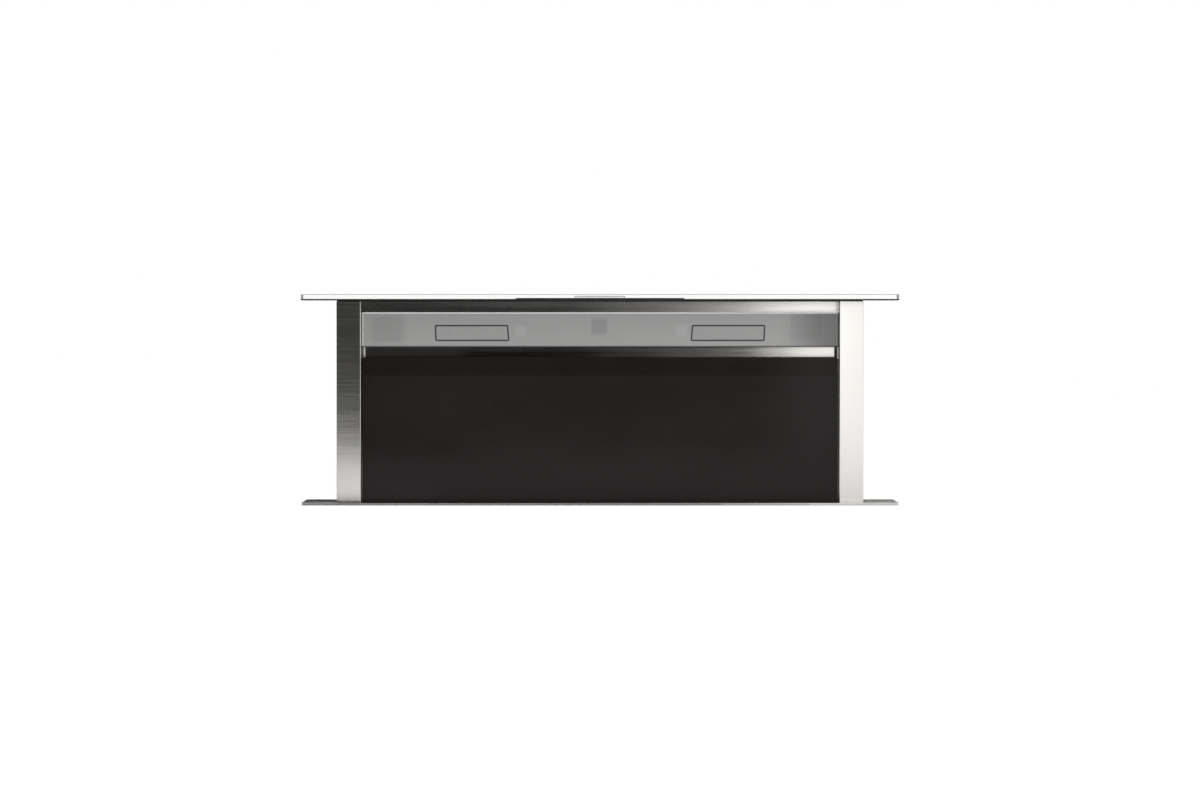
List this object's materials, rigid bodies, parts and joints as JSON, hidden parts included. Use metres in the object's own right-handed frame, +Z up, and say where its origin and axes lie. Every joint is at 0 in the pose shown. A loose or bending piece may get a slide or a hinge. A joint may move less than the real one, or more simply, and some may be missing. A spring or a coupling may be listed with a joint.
{
  "type": "downdraft vent",
  "caption": "Worktop extractor: a slim steel tower with light bar, dark glass and flat cap rises through a trim frame from a cassette with belt lift and blower.",
  "frame": {"origin": "middle of the trim frame, in the plane of the worktop's surface that the frame rests on", "axes": "+X to the right as seen from the cooking side, +Y to the back, +Z up; the front faces -Y"},
  "size_m": [0.88, 0.2574, 0.751],
  "materials": {
    "brushed_stainless": "stainless sheet with a fine horizontal brush",
    "satin_stainless": "stainless sheet with a short satin grain",
    "galvanised": "hot-dip galvanised sheet with a faint spangle",
    "black_glass": "toughened glass with a black enamel back",
    "black_plastic": "fine-textured moulded plastic",
    "dark_nylon": "glass-filled nylon moulding",
    "grey_plastic": "moulded plastic",
    "acetal": "machined bearing plastic",
    "rubber": "matt black foam or belt rubber",
    "aluminium": "anodised extrusion",
    "filter_mesh": "layered expanded mesh in a folded frame",
    "cast_aluminium": "die casting",
    "ground_steel": "ground and hard-chromed bar",
    "zinc_screw": "zinc-plated fastener",
    "motor_paint": "black enamel on steel",
    "lamp_lens": "frosted diffuser",
    "clear_window": "milky window",
    "key_plastic": "silver lacquered plastic",
    "circuit_board": "solder-masked board"
  },
  "bodies": {
    "cassette": {"trim_frame": "brushed_stainless", "trim_seal": "rubber", "cassette_front_panel": "galvanised", "cassette_rear_panel": "galvanised", "cassette_side_panels": "galvanised", "cassette_bottom_panel": "galvanised", "fixing_brackets": "galvanised", "guide_rods": "ground_steel", "rod_brackets": "cast_aluminium", "lift_belts": "rubber", "idler_axles": "ground_steel", "shaft_bearings": "acetal", "lift_gearbox": "cast_aluminium", "lift_motor": "motor_paint", "limit_switches": "black_plastic", "blower_box": "galvanised", "blower_cover": "galvanised", "blower_scroll": "galvanised", "inlet_ring": "galvanised", "motor_bracket": "galvanised", "blower_motor": "motor_paint", "outlet_collar": "black_plastic", "flap_rod": "ground_steel", "control_box": "galvanised", "control_box_lid": "galvanised", "mains_gland": "black_plastic", "cassette_screws": "zinc_screw"},
    "tower": {"left_post": "brushed_stainless", "right_post": "brushed_stainless", "rear_panel": "brushed_stainless", "head_beam": "brushed_stainless", "foot_beam": "galvanised", "light_bar": "satin_stainless", "lamp_modules": "black_plastic", "lamp_lenses": "lamp_lens", "light_bar_brackets": "galvanised", "cap": "satin_stainless", "cap_base_plate": "motor_paint", "cap_gasket": "rubber", "tower_screws": "zinc_screw", "control_housing": "black_plastic", "control_board": "circuit_board", "status_window": "clear_window", "filter_rails": "galvanised", "left_filter": "filter_mesh", "right_filter": "filter_mesh", "glide_shoes": "acetal", "belt_clamps": "cast_aluminium"},
    "front_panel": {"front_glass": "black_glass", "panel_carriers": "aluminium"},
    "button_1": {"key_1": "key_plastic"},
    "button_2": {"key_2": "key_plastic"},
    "button_3": {"key_3": "key_plastic"},
    "button_4": {"key_4": "key_plastic"},
    "lift_drive": {"lift_shaft": "ground_steel", "drive_pulleys": "cast_aluminium"},
    "idlers": {"idler_pulleys": "dark_nylon"},
    "fan_wheel": {"impeller": "dark_nylon"},
    "front_flap": {"front_flap": "grey_plastic"},
    "rear_flap": {"rear_flap": "grey_plastic"}
  },
  "joints": [
    {"name": "tower_lift", "type": "slide", "parent": "cassette", "child": "tower", "axis": [0, 0, 1], "range_m": [-0.2975, 0]},
    {"name": "lift_shaft_turn", "type": "hinge", "parent": "cassette", "child": "lift_drive", "pos_m": [0, 0, -0.415], "axis": [1, 0, 0], "range_deg": [-2, 1082]},
    {"name": "idler_turn", "type": "hinge", "parent": "cassette", "child": "idlers", "pos_m": [0, 0, -0.028], "axis": [1, 0, 0], "range_deg": [-2, 1082]},
    {"name": "fan_spin", "type": "hinge", "parent": "cassette", "child": "fan_wheel", "pos_m": [-0.02, -0.1, -0.23], "axis": [0, 1, 0], "continuous": true},
    {"name": "front_panel_tilt", "type": "hinge", "parent": "tower", "child": "front_panel", "pos_m": [0, 0.011, -0.008], "axis": [1, 0, 0], "range_deg": [0, 25]},
    {"name": "front_flap_swing", "type": "hinge", "parent": "cassette", "child": "front_flap", "pos_m": [0.184, -0.114, -0.3], "axis": [0, 0, 1], "range_deg": [0, 75], "stiffness_Nm_per_rad": 0.01, "springref_deg": -11.46},
    {"name": "rear_flap_swing", "type": "hinge", "parent": "cassette", "child": "rear_flap", "pos_m": [0.184, -0.114, -0.3], "axis": [0, 0, -1], "range_deg": [0, 75], "stiffness_Nm_per_rad": 0.01, "springref_deg": -11.46},
    {"name": "key_1_press", "type": "slide", "parent": "tower", "child": "button_1", "axis": [0, 0, -1], "range_m": [0, 0.0008], "stiffness_N_per_m": 300, "springref_m": -0.0005},
    {"name": "key_2_press", "type": "slide", "parent": "tower", "child": "button_2", "axis": [0, 0, -1], "range_m": [0, 0.0008], "stiffness_N_per_m": 300, "springref_m": -0.0005},
    {"name": "key_3_press", "type": "slide", "parent": "tower", "child": "button_3", "axis": [0, 0, -1], "range_m": [0, 0.0008], "stiffness_N_per_m": 300, "springref_m": -0.0005},
    {"name": "key_4_press", "type": "slide", "parent": "tower", "child": "button_4", "axis": [0, 0, -1], "range_m": [0, 0.0008], "stiffness_N_per_m": 300, "springref_m": -0.0005}
  ],
  "couplings": [
    {"joint": "lift_shaft_turn", "follows": "tower_lift", "rad_per_m": -63.291},
    {"joint": "idler_turn", "follows": "tower_lift", "rad_per_m": -63.291}
  ]
}
